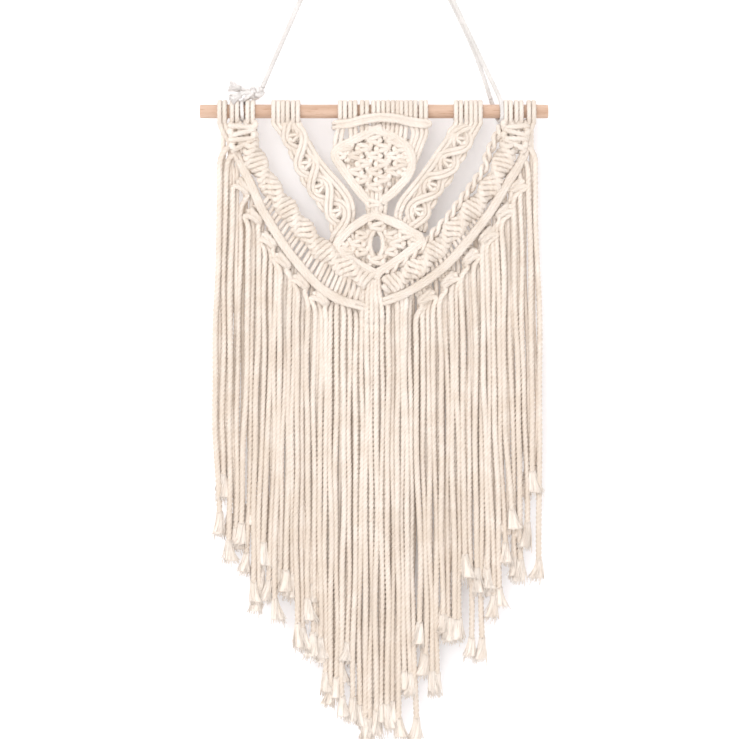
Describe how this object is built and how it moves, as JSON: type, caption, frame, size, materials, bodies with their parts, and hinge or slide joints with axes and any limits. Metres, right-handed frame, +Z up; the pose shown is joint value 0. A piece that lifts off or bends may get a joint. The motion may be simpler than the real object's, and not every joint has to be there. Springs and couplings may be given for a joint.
{
  "type": "macrame wall hanging with dowel",
  "caption": "Knotted cotton wall hanging on a round wooden dowel, with two small diamonds, V-shaped twists and a long pointed fringe, held up by a doubled cord.",
  "frame": {"origin": "the hang point, on the underside of the bend where the doubled hanging cord goes over what holds it up", "axes": "+Z up, -Y the front that faces into the room, +Y towards the wall, +X to the right seen from the front along the dowel"},
  "size_m": [0.38, 0.0287, 0.988],
  "materials": {
    "natural_cotton": "matt, twisted cotton cord in its natural cream",
    "beech_wood": "smooth, unvarnished light wood"
  },
  "bodies": {
    "root": {"dowel": "beech_wood", "hanging_strand_front": "natural_cotton", "hanging_strand_back": "natural_cotton", "tie_tail_front": "natural_cotton", "tie_tail_back": "natural_cotton", "tie_knot": "natural_cotton", "tie_turn": "natural_cotton", "heads_outer_left_a": "natural_cotton", "heads_outer_left_b": "natural_cotton", "heads_inner_left": "natural_cotton", "heads_centre": "natural_cotton", "heads_inner_right": "natural_cotton", "heads_outer_right": "natural_cotton", "centre_header": "natural_cotton", "upper_diamond": "natural_cotton", "centre_link": "natural_cotton", "band_left": "natural_cotton", "band_right": "natural_cotton", "lower_diamond": "natural_cotton", "hitch_row_left": "natural_cotton", "hitch_row_right": "natural_cotton", "twist_left": "natural_cotton", "twist_right": "natural_cotton", "companion_cord": "natural_cotton", "ridge_left": "natural_cotton", "ridge_right": "natural_cotton", "leaf_knot_left_1": "natural_cotton", "leaf_knot_left_2": "natural_cotton", "leaf_knot_left_3": "natural_cotton", "leaf_knot_left_4": "natural_cotton", "leaf_knot_left_5": "natural_cotton", "leaf_knot_left_6": "natural_cotton", "leaf_knot_right_1": "natural_cotton", "leaf_knot_right_2": "natural_cotton", "leaf_knot_right_3": "natural_cotton", "leaf_knot_right_4": "natural_cotton", "leaf_knot_right_5": "natural_cotton", "leaf_knot_right_6": "natural_cotton", "gathering_knot": "natural_cotton", "fringe": "natural_cotton"}
  },
  "joints": []
}
